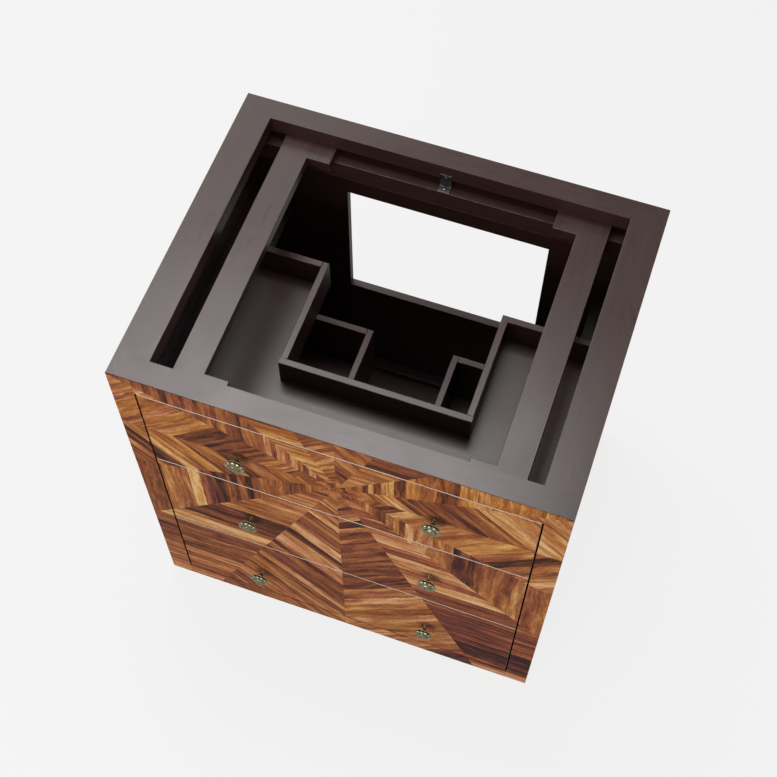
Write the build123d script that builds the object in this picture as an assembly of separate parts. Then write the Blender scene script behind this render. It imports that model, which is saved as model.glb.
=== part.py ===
from build123d import *
import os

# Vanity base cabinet without its countertop: a boxed carcass with a veneered face frame, an open
# top frame, and three full-width drawers on undermount slides. The upper two drawers are cut
# out at the back for the waste pipe.
# +X right, +Y back, +Z up. Origin: centre of the whole footprint, on the floor.
# Lengths in millimetres.

# ---- overall size ----
cabinet_width = 762.0
cabinet_depth = 597.0        # face frame front to back panel back, without the knobs
cabinet_height = 822.0
knob_projection = 28.0

# ---- boards of the carcass ----
face_thickness = 20.0        # face frame and drawer fronts
stile_width = 42.0
top_rail_height = 44.0
bottom_rail_height = 38.5
side_thickness = 18.0
back_thickness = 15.0
bottom_thickness = 18.0
bottom_panel_height = 14.0   # floor to the underside of the bottom panel
cleat_width = 20.5
cleat_height = 18.0

# ---- open top frame ----
top_frame_thickness = 33.0
top_frame_side_width = 40.5
top_frame_front_width = 21.0
top_frame_back_width = 24.5

# ---- rails under the top frame ----
c_rail_thickness = 20.0
c_rail_inset = 68.0          # side panel to the rail's outer edge
c_rail_spine_width = 52.0
c_rail_leg_reach = 42.0      # how far the legs stand in from the spine
c_rail_front_leg = 45.0
c_rail_back_leg = 61.0
back_rail_width = 39.0
back_rail_height = 40.0

# ---- opening in the back panel ----
back_opening_width = 387.0
back_opening_height = 313.0
back_opening_bottom = 322.0

# ---- drawers ----
drawer_gap = 3.0             # shadow gap above and below each drawer front
drawer_side_gap = 3.0
middle_front_height = 253.5
bottom_front_height = 244.0
box_wall = 12.0
box_side_clearance = 7.0     # drawer box to the edge of the face frame opening
box_depth = 380.0            # from the back of the drawer front
box_lift = 44.0              # lower edge of the drawer front to the lower edge of the box
box_floor_thickness = 9.0
box_floor_recess = 14.0      # lower edge of the box to the underside of its floor
cutout_front = 182.0         # face of the cabinet to the wall in front of the pipe
top_wall_height = 83.0
middle_wall_height = 154.0
bottom_wall_height = 144.5
top_cutout_width = 320.0
middle_cutout_width = 156.0

# ---- slides ----
slide_sheet = 1.5
slide_rail_back_gap = 27.0   # rear end of the fixed rail to the back panel
slide_rail_width = 44.0
slide_rail_height = 34.0
slide_drop = 16.0            # lower edge of the box to the underside of the slide
slide_clearance = 0.6
runner_width = 22.0
runner_height = 21.0
runner_inset = 1.5           # inner face of the box side to the runner
carriage_front_gap = 4.0
spacer_height = 60.0
spacer_below_slide = 14.0

# ---- knobs ----
knob_spacing = 337.0
knob_radius = 18.0
knob_stem_radius = 4.0
knob_stem_length = 12.0      # straight part, from the drawer front
knob_collar_radius = 15.0    # plain disc behind the head
knob_collar_length = 2.8
knob_groove_radius = 10.0    # between that disc and the head
knob_groove_length = 1.6
knob_back_radius = 16.0      # back of the head, where it leaves the collar
knob_back_length = 1.2
knob_rim_length = 2.0
knob_crown_radius = 11.0
knob_crown_length = 3.0
top_knob_rise = 7.0          # knobs above the middle of their drawer front
middle_knob_rise = 3.0
bottom_knob_rise = -10.5

# ---- screws and bracket ----
screw_radius = 2.0
screw_head_radius = 4.0
screw_head_thickness = 2.4
screw_clearance = 0.15
knob_screw_bite = 10.0       # thread inside the knob's stem
front_screw_bite = 13.0      # thread inside the drawer front
front_screw_inset = 60.0     # end of the drawer box to the screws of its front
front_screw_margin = 15.0    # floor and top edge of the box to those screws
bracket_width = 22.0
bracket_sheet = 2.0
bracket_foot = 15.0
bracket_top_drop = 20.0      # top of the cabinet down to the bracket's upper end
bracket_screw_length = 16.0

# ---- planes worked out from the sizes above ----
half_width = cabinet_width / 2
front_y = knob_projection - (cabinet_depth + knob_projection) / 2
back_y = front_y + cabinet_depth
frame_back_y = front_y + face_thickness
panel_y = back_y - back_thickness
inner_x = half_width - side_thickness
opening_x = half_width - stile_width
top_frame_z = cabinet_height - top_frame_thickness
c_rail_z = top_frame_z - c_rail_thickness
rail_top_z = cabinet_height - top_rail_height
bottom_top_z = bottom_panel_height + bottom_thickness
box_x = opening_x - box_side_clearance
box_back_y = frame_back_y + box_depth

LEFT = -1
RIGHT = 1
SIDES = ((LEFT, "left"), (RIGHT, "right"))


def board(x0, x1, y0, y1, z0, z1):
    """A straight board between two opposite corners, given in any order."""
    low = (min(x0, x1), min(y0, y1), min(z0, z1))
    size = (abs(x1 - x0), abs(y1 - y0), abs(z1 - z0))
    return Pos(*low) * Box(*size, align=(Align.MIN, Align.MIN, Align.MIN))


def rod_y(x, z, radius, y0, y1):
    """A round bar along Y."""
    bar = Rot(90, 0, 0) * Cylinder(radius, abs(y1 - y0))
    return Pos(x, (y0 + y1) / 2, z) * bar


def rod_z(x, y, radius, z0, z1):
    """A round bar along Z."""
    return Pos(x, y, (z0 + z1) / 2) * Cylinder(radius, abs(z1 - z0))


def save(name, *solids):
    """One node, written as a single solid or as a group of separate solids."""
    shape = solids[0] if len(solids) == 1 else Compound(children=list(solids))
    export_step(shape, f"parts/{name}.step")


def carcass():
    """Sides, face frame, back with its opening, bottom and cleat."""
    for side, word in SIDES:
        outer = side * half_width
        save(f"side_panel_{word}", board(outer, side * inner_x, frame_back_y, back_y,
                                         0, cabinet_height))
        save(f"stile_{word}", board(outer, side * opening_x, front_y, frame_back_y,
                                    0, cabinet_height))
    save("face_rail_top", board(-opening_x, opening_x, front_y, frame_back_y,
                                rail_top_z, cabinet_height))
    save("face_rail_bottom", board(-opening_x, opening_x, front_y, frame_back_y,
                                   0, bottom_rail_height))

    opening = board(-back_opening_width / 2, back_opening_width / 2, panel_y, back_y,
                    back_opening_bottom, back_opening_bottom + back_opening_height)
    save("back_panel", board(-inner_x, inner_x, panel_y, back_y, 0, cabinet_height) - opening)

    save("bottom_panel", board(-inner_x, inner_x, frame_back_y, panel_y,
                               bottom_panel_height, bottom_top_z))
    save("back_cleat", board(-inner_x, inner_x, panel_y - cleat_width, panel_y,
                             bottom_top_z, bottom_top_z + cleat_height))


def top_frame():
    """Four stretchers round the open top, flush with the top of the carcass."""
    front_edge = frame_back_y + top_frame_front_width
    back_edge = panel_y - top_frame_back_width
    save("top_frame_front", board(-inner_x, inner_x, frame_back_y, front_edge,
                                  top_frame_z, cabinet_height))
    back_stretcher = board(-inner_x, inner_x, back_edge, panel_y, top_frame_z, cabinet_height)
    bracket_hole = bracket_upper_screw(screw_radius + screw_clearance)
    save("top_frame_back", back_stretcher - bracket_hole)
    for side, word in SIDES:
        save(f"top_frame_{word}", board(side * inner_x, side * (inner_x - top_frame_side_width),
                                        front_edge, back_edge, top_frame_z, cabinet_height))


def under_rails():
    """The back top rail, and a C-shaped rail at each side that lies on it."""
    rail = board(-inner_x, inner_x, panel_y - back_rail_width, panel_y,
                 c_rail_z - back_rail_height, c_rail_z)
    save("back_top_rail", rail - bracket_lower_screw(screw_radius + screw_clearance))
    spine_outer = inner_x - c_rail_inset
    spine_inner = spine_outer - c_rail_spine_width
    leg_end = spine_inner - c_rail_leg_reach
    for side, word in SIDES:
        spine = board(side * spine_outer, side * spine_inner, frame_back_y, panel_y,
                      c_rail_z, top_frame_z)
        front_leg = board(side * spine_inner, side * leg_end, frame_back_y,
                          frame_back_y + c_rail_front_leg, c_rail_z, top_frame_z)
        back_leg = board(side * spine_inner, side * leg_end, panel_y - c_rail_back_leg, panel_y,
                         c_rail_z, top_frame_z)
        save(f"c_rail_{word}", spine + front_leg + back_leg)


def bracket_upper_screw(radius):
    """Axis of the screw through the bracket's upright leg, as a round bar."""
    face = panel_y - top_frame_back_width - bracket_sheet
    height = (cabinet_height - bracket_top_drop + top_frame_z) / 2
    return rod_y(0, height, radius, face, face + bracket_screw_length)


def bracket_lower_screw(radius):
    """Axis of the screw through the bracket's foot, as a round bar."""
    across = panel_y - top_frame_back_width - bracket_foot / 2
    top = c_rail_z + bracket_sheet
    return rod_z(0, across, radius, top - bracket_screw_length, top)


def angle_bracket():
    """Bent steel strip that ties the back stretcher to the back top rail, with two screws."""
    face = panel_y - top_frame_back_width
    upright = board(-bracket_width / 2, bracket_width / 2, face - bracket_sheet, face,
                    c_rail_z, cabinet_height - bracket_top_drop)
    foot = board(-bracket_width / 2, bracket_width / 2, face - bracket_foot, face,
                 c_rail_z, c_rail_z + bracket_sheet)
    hole = screw_radius + screw_clearance
    save("angle_bracket", upright + foot - bracket_upper_screw(hole) - bracket_lower_screw(hole))

    head_y = face - bracket_sheet
    head_z = (cabinet_height - bracket_top_drop + top_frame_z) / 2
    foot_y = face - bracket_foot / 2
    foot_top = c_rail_z + bracket_sheet
    upper = bracket_upper_screw(screw_radius) + rod_y(0, head_z, screw_head_radius,
                                                      head_y - screw_head_thickness, head_y)
    lower = bracket_lower_screw(screw_radius) + rod_z(0, foot_y, screw_head_radius,
                                                      foot_top, foot_top + screw_head_thickness)
    save("bracket_screws", upper, lower)


def slide_rail(side, under_z):
    """Fixed member: an L of folded steel against the spacer, with its shelf under the box."""
    wall = side * opening_x
    rail_back_y = panel_y - slide_rail_back_gap
    upright = board(wall, wall - side * slide_sheet, frame_back_y, rail_back_y,
                    under_z, under_z + slide_rail_height)
    shelf = board(wall, wall - side * slide_rail_width, frame_back_y, rail_back_y,
                  under_z, under_z + slide_sheet)
    return upright + shelf


def runner(side, top_z):
    """Drawer member: a channel open downwards, under the floor of the box."""
    outer = side * (box_x - box_wall - runner_inset)
    inner = outer - side * runner_width
    low_z = top_z - runner_height
    body = board(outer, inner, frame_back_y + box_wall, box_back_y - box_wall, low_z, top_z)
    hollow = board(outer - side * slide_sheet, inner + side * slide_sheet,
                   frame_back_y, box_back_y, low_z, top_z - slide_sheet)
    return body - hollow


def carriage(side, under_z, top_z):
    """Middle member: a square tube that runs between the fixed shelf and the runner."""
    play = slide_sheet + slide_clearance
    outer = side * (box_x - box_wall - runner_inset - play)
    inner = outer - side * (runner_width - 2 * play)
    start_y = frame_back_y + box_wall + carriage_front_gap
    low_z = under_z + play
    high_z = top_z - play
    tube = board(outer, inner, start_y, box_back_y, low_z, high_z)
    bore = board(outer - side * slide_sheet, inner + side * slide_sheet,
                 start_y, box_back_y, low_z + slide_sheet, high_z - slide_sheet)
    return tube - bore


def knob(x, z):
    """Round cabinet knob: stem, flared neck, collar disc, groove, and a head with a bevelled crown."""
    crown_y = knob_projection
    rim_front_y = crown_y - knob_crown_length
    rim_back_y = rim_front_y - knob_rim_length
    head_back_y = rim_back_y - knob_back_length
    collar_front_y = head_back_y - knob_groove_length
    collar_back_y = collar_front_y - knob_collar_length
    outline = Polyline((0, 0), (knob_stem_radius, 0), (knob_stem_radius, -knob_stem_length),
                       (knob_collar_radius, -collar_back_y), (knob_collar_radius, -collar_front_y),
                       (knob_groove_radius, -collar_front_y), (knob_groove_radius, -head_back_y),
                       (knob_back_radius, -head_back_y), (knob_radius, -rim_back_y),
                       (knob_radius, -rim_front_y), (knob_crown_radius, -crown_y), (0, -crown_y),
                       close=True)
    turned = Pos(x, front_y, z) * revolve(make_face(outline), Axis.Y)
    return turned - rod_y(x, z, screw_radius + screw_clearance, front_y, front_y - knob_screw_bite)


def box_screw(x, z, inner_y, length):
    """Pan-head screw driven forward from inside the drawer box."""
    shank = rod_y(x, z, screw_radius, inner_y - length, inner_y)
    head = rod_y(x, z, screw_head_radius, inner_y, inner_y + screw_head_thickness)
    return shank + head


def drawer(name, front_z, front_top, wall_height, cutout_width, knob_rise):
    """One drawer with its front, box, knobs and slides."""
    box_z = front_z + box_lift
    wall_top = box_z + wall_height
    box_front_y = frame_back_y + box_wall
    floor_z = box_z + box_floor_recess
    floor_top = floor_z + box_floor_thickness
    inside_x = box_x - box_wall
    front_x = opening_x - drawer_side_gap
    knob_z = (front_z + front_top) / 2 + knob_rise
    hole = screw_radius + screw_clearance

    # knob screws go right through, the screws of the front stop inside it
    screws = [(side * knob_spacing / 2, knob_z, face_thickness + box_wall + knob_screw_bite)
              for side, _ in SIDES]
    screw_heights = (floor_top + front_screw_margin, wall_top - front_screw_margin)
    screws += [(side * (box_x - front_screw_inset), z, box_wall + front_screw_bite)
               for side, _ in SIDES for z in screw_heights]
    front = board(-front_x, front_x, front_y, frame_back_y, front_z, front_top)
    box_front = board(-box_x, box_x, frame_back_y, box_front_y, box_z, wall_top)
    for x, z, length in screws:
        cut = rod_y(x, z, hole, max(front_y, box_front_y - length), box_front_y)
        front -= cut
        box_front -= cut
    save(f"{name}_front", front)
    save(f"{name}_box_front", box_front)

    for side, word in SIDES:
        save(f"{name}_side_{word}", board(side * box_x, side * inside_x, box_front_y, box_back_y,
                                          box_z, wall_top))

    floor = board(-inside_x, inside_x, box_front_y, box_back_y, floor_z, floor_top)
    back_front_y = box_back_y - box_wall
    if cutout_width:
        cutout_x = cutout_width / 2
        pocket_y = front_y + cutout_front + box_wall
        floor -= board(-cutout_x, cutout_x, pocket_y, box_back_y, floor_z, floor_top)
        backs = [board(side * inside_x, side * (cutout_x + box_wall), back_front_y, box_back_y,
                       floor_top, wall_top) for side, _ in SIDES]
        save(f"{name}_back", *backs)
        for side, word in SIDES:
            save(f"{name}_cutout_{word}", board(side * cutout_x, side * (cutout_x + box_wall),
                                                pocket_y, box_back_y, floor_top, wall_top))
        save(f"{name}_cutout_front", board(-cutout_x - box_wall, cutout_x + box_wall,
                                           pocket_y - box_wall, pocket_y, floor_top, wall_top))
    else:
        save(f"{name}_back", board(-inside_x, inside_x, back_front_y, box_back_y, floor_top, wall_top))
    save(f"{name}_floor", floor)

    save(f"{name}_knobs", *[knob(side * knob_spacing / 2, knob_z) for side, _ in SIDES])
    save(f"{name}_screws", *[box_screw(x, z, box_front_y, length) for x, z, length in screws])

    under_z = box_z - slide_drop
    save(f"{name}_slide_rails", *[slide_rail(side, under_z) for side, _ in SIDES])
    save(f"{name}_carriages", *[carriage(side, under_z, floor_z) for side, _ in SIDES])
    save(f"{name}_runners", *[runner(side, floor_z) for side, _ in SIDES])
    return box_z


def spacers(box_heights):
    """Blocks that pack each pair of slides out to the edge of the face frame opening."""
    for side, word in SIDES:
        blocks = []
        for box_z in box_heights:
            low = box_z - slide_drop - spacer_below_slide
            blocks.append(board(side * inner_x, side * opening_x, frame_back_y, panel_y,
                                low, low + spacer_height))
        save(f"slide_spacers_{word}", *blocks)


def main():
    """Build every piece and write it to parts/."""
    os.makedirs("parts", exist_ok=True)
    carcass()
    top_frame()
    under_rails()
    angle_bracket()

    bottom_z = bottom_rail_height + drawer_gap
    middle_z = bottom_z + bottom_front_height + drawer_gap
    top_z = middle_z + middle_front_height + drawer_gap
    boxes = [
        drawer("drawer_top", top_z, rail_top_z - drawer_gap,
               top_wall_height, top_cutout_width, top_knob_rise),
        drawer("drawer_middle", middle_z, middle_z + middle_front_height,
               middle_wall_height, middle_cutout_width, middle_knob_rise),
        drawer("drawer_bottom", bottom_z, bottom_z + bottom_front_height,
               bottom_wall_height, 0, bottom_knob_rise),
    ]
    spacers(boxes)


main()
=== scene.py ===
"""Looks of a vanity base cabinet, built around its CAD frame.

The front and sides are laid with hardwood leaves in an eight-pointed star, the rest is lacquered
espresso brown, and each drawer carries two aged-brass knobs. Lengths are in metres.
"""

import logging
import math
import random
import zlib
from dataclasses import dataclass, field, replace
from enum import Enum
from typing import Iterable, Sequence

import bmesh
import bpy
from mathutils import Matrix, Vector


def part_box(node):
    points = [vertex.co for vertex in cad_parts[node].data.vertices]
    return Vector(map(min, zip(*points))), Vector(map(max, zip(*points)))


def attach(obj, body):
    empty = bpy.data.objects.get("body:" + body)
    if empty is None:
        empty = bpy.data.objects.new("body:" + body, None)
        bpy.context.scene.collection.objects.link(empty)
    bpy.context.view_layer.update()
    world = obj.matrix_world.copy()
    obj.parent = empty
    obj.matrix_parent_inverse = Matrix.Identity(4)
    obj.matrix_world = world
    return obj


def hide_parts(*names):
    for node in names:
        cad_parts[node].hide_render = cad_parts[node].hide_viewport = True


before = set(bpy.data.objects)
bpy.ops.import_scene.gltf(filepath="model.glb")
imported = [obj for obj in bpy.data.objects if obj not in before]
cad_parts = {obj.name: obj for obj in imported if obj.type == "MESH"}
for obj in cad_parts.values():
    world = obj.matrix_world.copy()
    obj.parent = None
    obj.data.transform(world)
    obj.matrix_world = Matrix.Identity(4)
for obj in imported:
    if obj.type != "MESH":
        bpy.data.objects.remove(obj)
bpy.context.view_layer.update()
LOG = logging.getLogger("vanity_cabinet")
MM = 0.001
LEAF = 0.6 * MM  # the thickness of a leaf of veneer

Point = tuple[float, float]
Colour = tuple[float, float, float]


class Slot(Enum):
    """The material slots that a finish can name."""

    VENEER = "veneer"
    LACQUER = "lacquer"
    INTERIOR = "interior"
    BRASS = "brass"
    STEEL = "steel"


class Axis(Enum):
    """The cabinet's axes, as the direction a board's grain runs."""

    X = 0
    Y = 1
    Z = 2


class Face(Enum):
    """The six sides of a board's box, as (axis, which end)."""

    LEFT = (0, 0)
    RIGHT = (0, 1)
    FRONT = (1, 0)
    BACK = (1, 1)
    UNDER = (2, 0)
    TOP = (2, 1)


def seed_of(name: str) -> int:
    """A fixed number for a name, the same in every run."""
    return zlib.crc32(name.encode())


# ---------------------------------------------------------------- shader nodes


class Nodes:
    """A short way to add and link nodes in a shader or geometry tree.

    Args:
        tree: the node tree that the nodes go in.
    """

    def __init__(self, tree: bpy.types.NodeTree) -> None:
        """Keeps the tree."""
        self.tree = tree

    def add(self, kind: str, values: dict | None = None, **settings: object) -> bpy.types.Node:
        """Adds a node.

        Args:
            kind: the node's type name.
            values: socket name or number to a value, or to an output socket to link.
            settings: properties of the node itself.

        Returns:
            The new node.
        """
        node = self.tree.nodes.new(kind)
        for key, value in settings.items():
            setattr(node, key, value)
        for key, value in (values or {}).items():
            socket = node.inputs[key]
            if isinstance(value, bpy.types.NodeSocket):
                self.tree.links.new(value, socket)
            else:
                socket.default_value = value
        return node

    def math(self, operation: str, first: object, second: object,
             third: object = None) -> bpy.types.NodeSocket:
        """A maths node's result, with numbers or sockets as its inputs."""
        values = {0: first, 1: second} if third is None else {0: first, 1: second, 2: third}
        return self.add("ShaderNodeMath", values, operation=operation).outputs[0]

    def mix(self, factor: object, first: object, second: object,
            blend: str = "MIX") -> bpy.types.NodeSocket:
        """A colour mix node's result."""
        return self.add("ShaderNodeMix", {0: factor, 6: first, 7: second},
                        data_type="RGBA", blend_type=blend).outputs[2]

    def ramp(self, factor: object, stops: Sequence[tuple[float, Colour]]) -> bpy.types.NodeSocket:
        """A colour ramp's result.

        Args:
            factor: the socket that is looked up.
            stops: (position, colour) pairs in rising order.

        Returns:
            The ramp's colour.
        """
        node = self.add("ShaderNodeValToRGB", {0: factor})
        ramp = node.color_ramp
        while len(ramp.elements) < len(stops):
            ramp.elements.new(0.5)
        for element, (position, colour) in zip(ramp.elements, stops):
            element.position = position
            element.color = opaque(colour)
        return node.outputs[0]

    def noise(self, vector: object, scale: float, detail: float = 4.0, roughness: float = 0.55,
              distortion: float = 0.0) -> bpy.types.NodeSocket:
        """A noise texture's value."""
        return self.add("ShaderNodeTexNoise", {
            "Vector": vector, "Scale": scale, "Detail": detail, "Roughness": roughness,
            "Distortion": distortion}).outputs[0]

    def between(self, value: object, start: float, end: float,
                most: float = 1.0) -> bpy.types.NodeSocket:
        """A mask that rises from nothing at start to the most at end."""
        return self.add("ShaderNodeMapRange", {0: value, 1: start, 2: end, 4: most}).outputs[0]

    def bump(self, strength: float, distance: float, height: object) -> bpy.types.NodeSocket:
        """A bump node's normal."""
        return self.add("ShaderNodeBump", {"Strength": strength, "Distance": distance,
                                           "Height": height}).outputs[0]

    def place(self, group: bpy.types.NodeTree, values: dict) -> bpy.types.NodeOutputs:
        """The outputs of a shared group, placed with its own values or sockets by input name."""
        return self.add("ShaderNodeGroup", values, node_tree=group).outputs

    def attribute(self, name: str, output: str = "Fac") -> bpy.types.NodeSocket:
        """A named attribute of the mesh, in a material."""
        return self.add("ShaderNodeAttribute", attribute_name=name).outputs[output]

    def join(self, node: bpy.types.Node, sockets: dict[str, bpy.types.NodeSocket]) -> None:
        """Links sockets to a node's inputs by name."""
        for name, socket in sockets.items():
            self.tree.links.new(socket, node.inputs[name])


def opaque(colour: Colour) -> tuple[float, float, float, float]:
    """A colour with full alpha."""
    return (*colour, 1.0)


def new_group(name: str, inputs: Sequence[tuple], outputs: Sequence[tuple]) -> tuple:
    """An empty shader node group.

    Args:
        name: the group's name.
        inputs: (name, socket type, default) for each input.
        outputs: (name, socket type) for each output.

    Returns:
        The tree's Nodes helper, its input sockets and its output node.
    """
    tree = bpy.data.node_groups.new(name, "ShaderNodeTree")
    for title, kind, default in inputs:
        socket = tree.interface.new_socket(title, in_out="INPUT", socket_type=kind)
        if default is not None:
            socket.default_value = default
    for title, kind in outputs:
        tree.interface.new_socket(title, in_out="OUTPUT", socket_type=kind)
    kit = Nodes(tree)
    return kit, kit.add("NodeGroupInput").outputs, kit.add("NodeGroupOutput")


def wood_grain_group() -> bpy.types.NodeTree:
    """Streaks, figure, fibres and flecks that run along a board or a leaf.

    Returns:
        The group's tree.
    """
    kit, given, result = new_group(
        "wood_grain",
        [("Grain", "NodeSocketVector", None), ("Streak Count", "NodeSocketFloat", 60.0),
         ("Fibre Count", "NodeSocketFloat", 900.0), ("Wander", "NodeSocketFloat", 0.012)],
        [("Streaks", "NodeSocketFloat"), ("Figure", "NodeSocketFloat"),
         ("Fibres", "NodeSocketFloat"), ("Flecks", "NodeSocketFloat")])
    parts = kit.add("ShaderNodeSeparateXYZ", {0: given["Grain"]}).outputs
    drift = kit.noise(given["Grain"], scale=9.0, detail=3.0, roughness=0.6)
    shift = kit.math("MULTIPLY", kit.math("SUBTRACT", drift, 0.5), given["Wander"])
    across = kit.math("ADD", parts[1], shift)

    def stretched(along: float, over: object) -> bpy.types.NodeSocket:
        """The grain coordinate, scaled along and across the fibres."""
        return kit.add("ShaderNodeCombineXYZ", {0: kit.math("MULTIPLY", parts[0], along),
                                                1: kit.math("MULTIPLY", across, over),
                                                2: parts[2]}).outputs[0]

    def spread(value: object, gain: float) -> bpy.types.NodeSocket:
        """A noise value, pulled apart round its middle."""
        return kit.math("MULTIPLY_ADD", kit.math("SUBTRACT", value, 0.5), gain, 0.5)

    figure_count = kit.math("MULTIPLY", given["Streak Count"], 3.6)
    streaks = kit.noise(stretched(4.5, given["Streak Count"]), 1.0, detail=3.0, roughness=0.55)
    figure = kit.noise(stretched(16.0, figure_count), 1.0, detail=4.0, roughness=0.68)
    fibres = kit.noise(stretched(45.0, given["Fibre Count"]), 1.0, detail=3.0, roughness=0.7)
    flecks = kit.noise(stretched(75.0, 620.0), 1.0, detail=1.5, roughness=0.5)
    kit.join(result, {"Streaks": spread(streaks, 1.9), "Figure": spread(figure, 1.7),
                      "Fibres": fibres, "Flecks": kit.between(flecks, 0.64, 0.72)})
    return kit.tree


def wear_and_highlight_mask_group() -> bpy.types.NodeTree:
    """A mask along eased arrises: broken where the finish has rubbed thin, and past an amount of 1 whole
    along the arris, as a painted highlight line.

    Returns:
        The group's tree.
    """
    kit, given, result = new_group(
        "edge_wear",
        [("Edge", "NodeSocketFloat", 0.0), ("Coordinate", "NodeSocketVector", None),
         ("Amount", "NodeSocketFloat", 0.5), ("Patch Scale", "NodeSocketFloat", 60.0)],
        [("Mask", "NodeSocketFloat")])
    scaled = kit.add("ShaderNodeVectorMath", {0: given["Coordinate"], 3: given["Patch Scale"]},
                     operation="SCALE").outputs[0]
    broken = kit.between(kit.noise(scaled, 1.0, detail=5.0, roughness=0.65), 0.42, 0.66)
    # past an amount of 1 the mask also runs whole along the arris: a painted highlight line
    whole = kit.math("MAXIMUM", kit.math("SUBTRACT", given["Amount"], 1.0), 0.0)
    arris_wear_and_highlight = kit.math("MULTIPLY", given["Edge"], kit.math("ADD", broken, whole))
    kit.join(result, {"Mask": kit.math("MULTIPLY", arris_wear_and_highlight, given["Amount"])})
    return kit.tree


def handling_group() -> bpy.types.NodeTree:
    """Cloudy wipe marks and fine dust, as roughness and a small height.

    Returns:
        The group's tree.
    """
    kit, given, result = new_group(
        "handling",
        [("Coordinate", "NodeSocketVector", None), ("Roughness", "NodeSocketFloat", 0.4),
         ("Spread", "NodeSocketFloat", 0.08)],
        [("Roughness", "NodeSocketFloat"), ("Height", "NodeSocketFloat"), ("Dust", "NodeSocketFloat")])
    cloud = kit.noise(given["Coordinate"], 7.0, detail=4.0, roughness=0.6, distortion=0.4)
    grit = kit.noise(given["Coordinate"], 950.0, detail=2.0, roughness=0.5)
    both = kit.math("MULTIPLY_ADD", kit.math("SUBTRACT", grit, 0.5), 0.35,
                    kit.math("SUBTRACT", cloud, 0.5))
    rough = kit.math("ADD", kit.math("MULTIPLY", both, given["Spread"]), given["Roughness"])
    kit.join(result, {"Roughness": rough, "Height": grit, "Dust": kit.between(grit, 0.72, 0.8)})
    return kit.tree


GRAIN_DEPTH = 0.2 * MM  # how deep a bump of the grain can look
DENT_DEPTH = 0.6 * MM  # how deep a dent in metal can look
WOOD_GRAIN = wood_grain_group()
WEAR_AND_HIGHLIGHT_MASK = wear_and_highlight_mask_group()
HANDLING = handling_group()


# ---------------------------------------------------------------- finishes


def blank_material(name: str) -> tuple[bpy.types.Material, Nodes, bpy.types.Node]:
    """A material with only its Principled shader and output.

    Args:
        name: the material's name.

    Returns:
        The material, its Nodes helper and its shader.
    """
    material = bpy.data.materials.new(name)
    material.use_nodes = True
    kit = Nodes(material.node_tree)
    return material, kit, material.node_tree.nodes["Principled BSDF"]


@dataclass(frozen=True)
class LacquerFinish:
    """Brushed brown lacquer over wood: faint grain, cloudy sheen, arrises painted lighter, partly as
    rubbed finish and partly as a painted highlight.

    Attributes:
        name: the material's name.
        slot: the material slot that it names; it is not used.
        dark: the lacquer in the grain's hollows.
        light: the lacquer on the grain's ridges.
        arris_wear_and_highlight: the colour painted on the eased arrises, partly where the finish is
            rubbed and partly as a painted highlight.
        roughness: the mean roughness.
        wear_and_highlight_amount: how far the arrises are painted lighter; below 1 in broken rubbed
            patches, past 1 along their whole length as a painted highlight line.
        bump: how strongly the grain stands out.
        cloud: how much the wipe marks change the roughness.
        fleck: how strongly the pores show.
        dust: how strongly the dust shows.
        dust_colour: the dust's colour.
    """

    name: str
    slot: Slot
    dark: Colour
    light: Colour
    arris_wear_and_highlight: Colour
    roughness: float
    wear_and_highlight_amount: float = 0.5
    bump: float = 0.12
    cloud: float = 0.16
    fleck: float = 0.10
    dust: float = 0.06
    dust_colour: Colour = (0.5, 0.48, 0.45)

    def material(self) -> bpy.types.Material:
        """Builds the material.

        Returns:
            The material.
        """
        material, kit, shader = blank_material(self.name)
        wood = kit.place(WOOD_GRAIN, {"Grain": kit.attribute("grain", "Vector"), "Streak Count": 38.0,
                                      "Fibre Count": 700.0, "Wander": 0.006})
        spot = kit.add("ShaderNodeTexCoord").outputs["Object"]
        touch = kit.place(HANDLING, {"Coordinate": spot, "Roughness": self.roughness,
                                     "Spread": self.cloud})
        edge = kit.place(WEAR_AND_HIGHLIGHT_MASK, {"Edge": kit.attribute("edge"), "Coordinate": spot,
                                     "Amount": self.wear_and_highlight_amount, "Patch Scale": 45.0})
        pore = tuple(0.45 * part for part in self.dark)
        shade = kit.math("MULTIPLY_ADD", wood["Figure"], 0.5, kit.math("MULTIPLY", wood["Streaks"], 0.5))
        tint = kit.mix(shade, opaque(self.dark), opaque(self.light))
        tint = kit.mix(kit.math("MULTIPLY", wood["Flecks"], self.fleck), tint, opaque(pore))
        # the arrises painted in the worn colour: partly rubbed finish, partly painted highlight
        tint = kit.mix(edge["Mask"], tint, opaque(self.arris_wear_and_highlight))
        tint = kit.mix(kit.math("MULTIPLY", touch["Dust"], self.dust), tint, opaque(self.dust_colour))
        height = kit.math("MULTIPLY_ADD", wood["Fibres"], 0.7, touch["Height"])
        height = kit.math("MULTIPLY_ADD", wood["Figure"], 0.7, height)
        brushed = kit.math("MULTIPLY_ADD", kit.math("SUBTRACT", wood["Figure"], 0.5), 0.07,
                           touch["Roughness"])
        kit.join(shader, {"Base Color": tint, "Roughness": brushed,
                          "Normal": kit.bump(self.bump, GRAIN_DEPTH, height)})
        return material


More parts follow.
